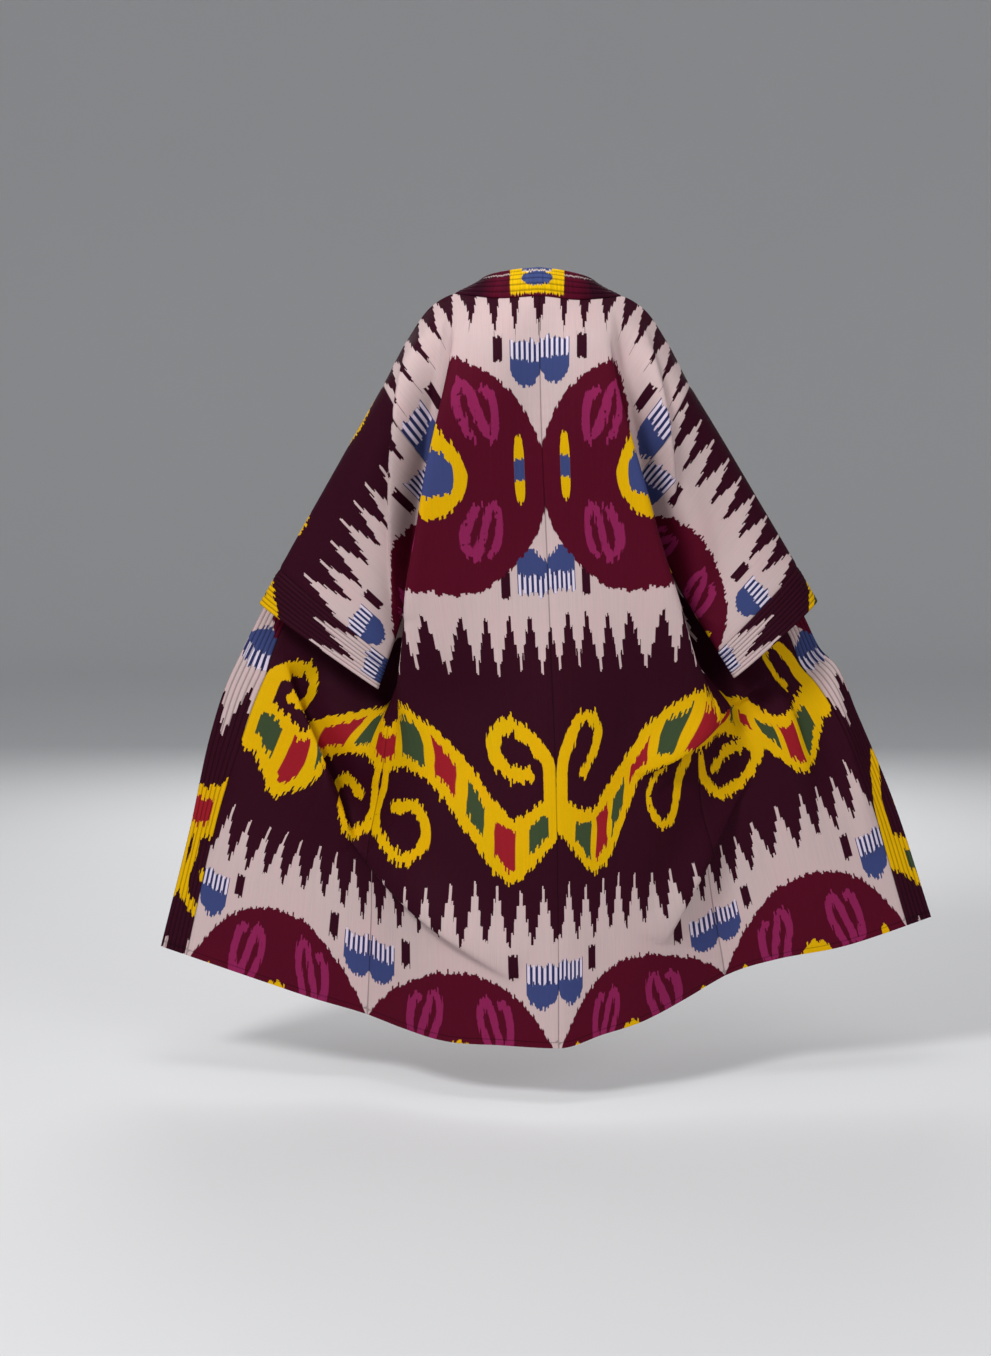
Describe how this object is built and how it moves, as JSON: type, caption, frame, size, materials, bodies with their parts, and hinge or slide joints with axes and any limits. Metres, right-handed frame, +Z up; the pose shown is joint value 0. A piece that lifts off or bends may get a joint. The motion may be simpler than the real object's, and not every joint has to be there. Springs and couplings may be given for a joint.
{
  "type": "open ikat robe",
  "caption": "Long open robe of straight ikat strips with wide sleeves, stitched cuffs, a narrow collar and front bands, held open at the sides, as worn.",
  "frame": {"origin": "nape of the neck, at the top of the collar's centre back, where the wearer's shoulders hold the robe", "axes": "+Z up, the wearer faces -Y and the wearer's left is +X"},
  "size_m": [1.285, 0.2937, 1.2218],
  "materials": {
    "ikat_body": "matte",
    "ikat_sleeve": "matte",
    "ikat_cuff": "matte",
    "ikat_band": "matte",
    "ikat_collar": "matte"
  },
  "bodies": {
    "root": {"back_left": "ikat_body", "back_right": "ikat_body", "front_left": "ikat_body", "front_right": "ikat_body", "sleeve_left": "ikat_sleeve", "sleeve_right": "ikat_sleeve", "cuff_left": "ikat_cuff", "cuff_right": "ikat_cuff", "band_left": "ikat_band", "band_right": "ikat_band", "collar": "ikat_collar"}
  },
  "joints": []
}
